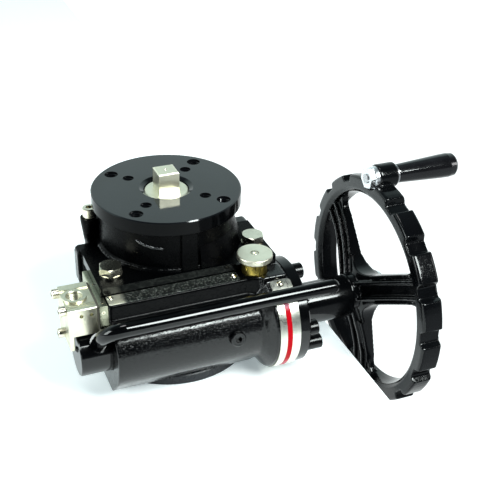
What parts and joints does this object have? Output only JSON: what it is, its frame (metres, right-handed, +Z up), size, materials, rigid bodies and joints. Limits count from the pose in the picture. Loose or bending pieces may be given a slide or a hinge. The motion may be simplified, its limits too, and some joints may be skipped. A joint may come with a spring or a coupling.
{
  "type": "declutchable worm gear operator",
  "caption": "Worm gear override for a quarter-turn valve, with a spoked handwheel, crank grip, declutching lever, lock knob, pilot cut-off valve and square drive stem.",
  "frame": {"origin": "centre of the bottom, valve-side mounting face on the stem axis", "axes": "+Z up the stem to the actuator flange, +X along the worm shaft to the handwheel, +Y away from the worm side"},
  "size_m": [0.3469, 0.229, 0.2143],
  "materials": {
    "black_enamel": "gloss",
    "black_cast_enamel": "gloss",
    "zinc_steel": "satin",
    "seal_rubber": "matte",
    "bearing_bronze": "satin",
    "nickel": "satin",
    "red_paint": "gloss",
    "stainless": "satin",
    "gasket_fibre": "matte",
    "bright_steel": "satin",
    "wheel_bronze": "satin",
    "black_plastic": "gloss",
    "brass": "satin"
  },
  "bodies": {
    "gearbox": {"base_flange": "black_enamel", "base_screws": "zinc_steel", "base_o_ring": "seal_rubber", "gear_case": "black_cast_enamel", "housing_plug": "black_enamel", "upper_bush": "bearing_bronze", "stem_seal": "seal_rubber", "lower_bush": "bearing_bronze", "lower_thrust_washer": "bearing_bronze", "upper_thrust_washer": "bearing_bronze", "end_cover": "black_enamel", "end_cover_screws": "black_enamel", "cover_stop_screw": "black_enamel", "indicator_band": "nickel", "indicator_stripe": "red_paint", "band_screws": "stainless", "top_bracket": "black_enamel", "bracket_gasket": "gasket_fibre", "plate_bolts": "stainless", "plate_washers": "stainless", "dowel_pins": "bright_steel", "rear_post_screws": "stainless", "nameplate": "stainless", "nameplate_screws": "stainless", "adapter_plate": "nickel", "adapter_screws": "stainless", "valve_gasket": "gasket_fibre", "valve_body": "nickel", "valve_screws": "stainless", "plunger_spring": "bright_steel", "lock_spring": "bright_steel"},
    "output": {"drive_stem": "nickel", "stem_o_ring": "seal_rubber", "wheel_key": "bright_steel", "wheel_retaining_ring": "bright_steel", "worm_wheel": "wheel_bronze"},
    "declutch": {"eccentric_sleeve": "black_enamel", "sleeve_end_screw": "black_enamel", "worm_bush_left": "bearing_bronze", "worm_bush_right": "bearing_bronze", "worm_thrust_washers": "bearing_bronze", "worm_spacer_tube": "bright_steel", "shaft_seal": "seal_rubber", "declutch_lever": "black_enamel", "lever_collar": "black_enamel", "sleeve_shroud": "black_enamel"},
    "worm": {"worm_shaft": "bright_steel", "handwheel": "black_enamel", "hub_key": "bright_steel", "hub_spacer": "black_enamel", "hub_washer": "zinc_steel", "hub_screw": "zinc_steel", "crank_pin": "bright_steel", "crank_nut": "zinc_steel", "crank_washer": "zinc_steel"},
    "grip": {"crank_grip": "black_plastic"},
    "valve_slide": {"valve_plunger": "bright_steel"},
    "lock": {"lock_plunger": "brass", "lock_knob": "nickel", "knob_screw": "stainless"}
  },
  "joints": [
    {"name": "declutch_turn", "type": "hinge", "parent": "gearbox", "child": "declutch", "pos_m": [0, -0.0625, 0.0495], "axis": [1, 0, 0], "range_deg": [0, 100]},
    {"name": "worm_spin", "type": "hinge", "parent": "declutch", "child": "worm", "pos_m": [0, -0.058, 0.0495], "axis": [1, 0, 0], "range_deg": [-4320, 0]},
    {"name": "output_turn", "type": "hinge", "parent": "gearbox", "child": "output", "pos_m": [0, 0, 0.08], "axis": [0, 0, 1], "range_deg": [-90, 0]},
    {"name": "grip_spin", "type": "hinge", "parent": "worm", "child": "grip", "pos_m": [0.2, -0.05074, 0.15325], "axis": [1, 0, 0], "continuous": true},
    {"name": "valve_lift", "type": "slide", "parent": "gearbox", "child": "valve_slide", "axis": [0, 0, 1], "range_m": [0, 0.0025], "deforming": ["plunger_spring"]},
    {"name": "lock_press", "type": "slide", "parent": "gearbox", "child": "lock", "axis": [0, 0, 1], "range_m": [-0.0055, 0], "stiffness_N_per_m": 600, "springref_m": 0.004, "deforming": ["lock_spring"]}
  ],
  "couplings": [
    {"joint": "output_turn", "follows": "worm_spin", "ratio": 0.020833},
    {"joint": "valve_lift", "follows": "declutch_turn", "m_per_rad": 0.0014324}
  ]
}
